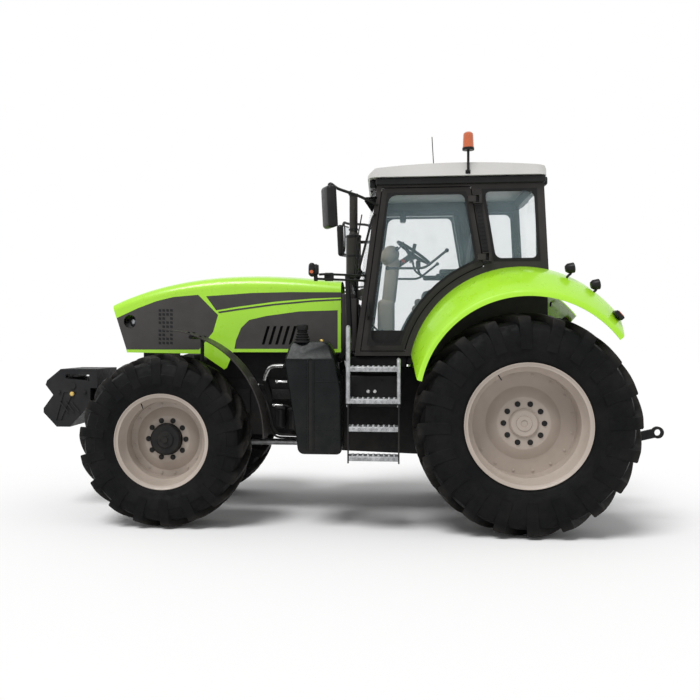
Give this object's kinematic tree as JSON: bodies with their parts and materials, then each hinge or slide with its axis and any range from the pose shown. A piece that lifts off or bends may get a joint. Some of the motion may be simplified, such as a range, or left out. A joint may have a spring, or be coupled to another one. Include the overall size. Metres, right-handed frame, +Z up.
{
  "type": "four-wheel-drive farm tractor",
  "caption": "Farm tractor with cab, opening hood and doors, steered front axle, spinning wheels, front weights and a three-point linkage.",
  "frame": {"origin": "on the ground, under the middle of the bounding box", "axes": "+X forward along the tractor, +Y to its left, +Z up"},
  "size_m": [5.66, 2.89, 3.4701],
  "materials": {
    "body_green": "gloss",
    "dark_panel": "satin",
    "cast_black": "satin",
    "rim_beige": "satin",
    "tyre_rubber": "matte",
    "roof_grey": "satin",
    "cab_black": "satin",
    "glass_clear": "gloss",
    "lamp_lens": "gloss",
    "amber_lens": "gloss",
    "tank_black": "matte",
    "step_silver": "satin",
    "weight_black": "satin",
    "trim_beige": "matte",
    "seat_cloth": "matte",
    "steel": "brushed"
  },
  "bodies": {
    "chassis": {"engine_block": "cast_black", "front_frame": "cast_black", "front_weights": "weight_black", "front_axle_beam": "cast_black", "gearbox_housing": "cast_black", "rear_axle_housing": "cast_black", "drawbar": "cast_black", "drive_shaft": "steel", "radiator_pack": "cast_black", "fuel_tanks": "tank_black", "steps": "step_silver", "cab_frame": "cab_black", "cab_glass": "glass_clear", "cab_roof": "roof_grey", "cowl": "cab_black", "rear_fenders": "body_green", "exhaust_stack": "cab_black", "mirrors": "cab_black", "work_lamps": "cab_black", "beacon": "amber_lens", "antenna": "cab_black", "seat": "seat_cloth", "side_console": "trim_beige", "steering_column": "trim_beige", "top_link": "steel"},
    "hood": {"hood_shell": "body_green", "grille_panels": "dark_panel", "headlamps": "lamp_lens"},
    "door_left": {"door_left": "cab_black", "door_left_glass": "glass_clear"},
    "door_right": {"door_right": "cab_black", "door_right_glass": "glass_clear"},
    "knuckle_left": {"knuckle_left": "cast_black", "front_fender_left": "cab_black"},
    "knuckle_right": {"knuckle_right": "cast_black", "front_fender_right": "cab_black"},
    "tie_rod": {"tie_rod": "steel"},
    "wheel_front_left": {"tyre_front_left": "tyre_rubber", "rim_front_left": "rim_beige", "hub_front_left": "cast_black"},
    "wheel_front_right": {"tyre_front_right": "tyre_rubber", "rim_front_right": "rim_beige", "hub_front_right": "cast_black"},
    "wheel_rear_left": {"tyre_rear_left": "tyre_rubber", "rim_rear_left": "rim_beige", "hub_rear_left": "rim_beige"},
    "wheel_rear_right": {"tyre_rear_right": "tyre_rubber", "rim_rear_right": "rim_beige", "hub_rear_right": "rim_beige"},
    "lower_links": {"lower_links": "cast_black"},
    "lift_rods": {"lift_rods": "cast_black"},
    "lift_arms": {"lift_arms": "cast_black"}
  },
  "joints": [
    {"name": "hood_open", "type": "hinge", "parent": "chassis", "child": "hood", "pos_m": [0.052, 0, 2.092], "axis": [0, -1, 0], "range_deg": [0, 50]},
    {"name": "door_left_open", "type": "hinge", "parent": "chassis", "child": "door_left", "pos_m": [-1.26, 0.824, 2.257], "axis": [0.1626, 0, 0.9867], "range_deg": [0, 65]},
    {"name": "door_right_open", "type": "hinge", "parent": "chassis", "child": "door_right", "pos_m": [-1.26, -0.824, 2.257], "axis": [-0.1626, 0, -0.9867], "range_deg": [0, 65]},
    {"name": "steer_left", "type": "hinge", "parent": "chassis", "child": "knuckle_left", "pos_m": [1.49, 0.72, 0.748], "axis": [0, 0, 1], "range_deg": [-35, 35]},
    {"name": "steer_right", "type": "hinge", "parent": "chassis", "child": "knuckle_right", "pos_m": [1.49, -0.72, 0.748], "axis": [0, 0, 1], "range_deg": [-35, 35]},
    {"name": "tie_rod_swing", "type": "hinge", "parent": "knuckle_left", "child": "tie_rod", "pos_m": [1.77, 0.72, 0.686], "axis": [0, 0, 1], "range_deg": [-35, 35]},
    {"name": "wheel_front_left_spin", "type": "hinge", "parent": "knuckle_left", "child": "wheel_front_left", "pos_m": [1.49, 0.93, 0.748], "axis": [0, 1, 0], "continuous": true},
    {"name": "wheel_front_right_spin", "type": "hinge", "parent": "knuckle_right", "child": "wheel_front_right", "pos_m": [1.49, -0.93, 0.748], "axis": [0, 1, 0], "continuous": true},
    {"name": "wheel_rear_left_spin", "type": "hinge", "parent": "chassis", "child": "wheel_rear_left", "pos_m": [-1.56, 0.96, 0.922], "axis": [0, 1, 0], "continuous": true},
    {"name": "wheel_rear_right_spin", "type": "hinge", "parent": "chassis", "child": "wheel_rear_right", "pos_m": [-1.56, -0.96, 0.922], "axis": [0, 1, 0], "continuous": true},
    {"name": "link_lift", "type": "hinge", "parent": "chassis", "child": "lower_links", "pos_m": [-1.75, 0, 0.56], "axis": [0, 1, 0], "range_deg": [-26, 13]},
    {"name": "rod_swing", "type": "hinge", "parent": "lower_links", "child": "lift_rods", "pos_m": [-2.13895, 0, 0.65338], "axis": [0, 1, 0], "range_deg": [-13, 26]},
    {"name": "arm_lift", "type": "hinge", "parent": "chassis", "child": "lift_arms", "pos_m": [-1.75, 0, 1.2], "axis": [0, 1, 0], "range_deg": [-26, 13]}
  ],
  "couplings": [
    {"joint": "steer_right", "follows": "steer_left", "ratio": 1},
    {"joint": "tie_rod_swing", "follows": "steer_left", "ratio": -1},
    {"joint": "rod_swing", "follows": "link_lift", "ratio": -1},
    {"joint": "arm_lift", "follows": "link_lift", "ratio": 1}
  ]
}
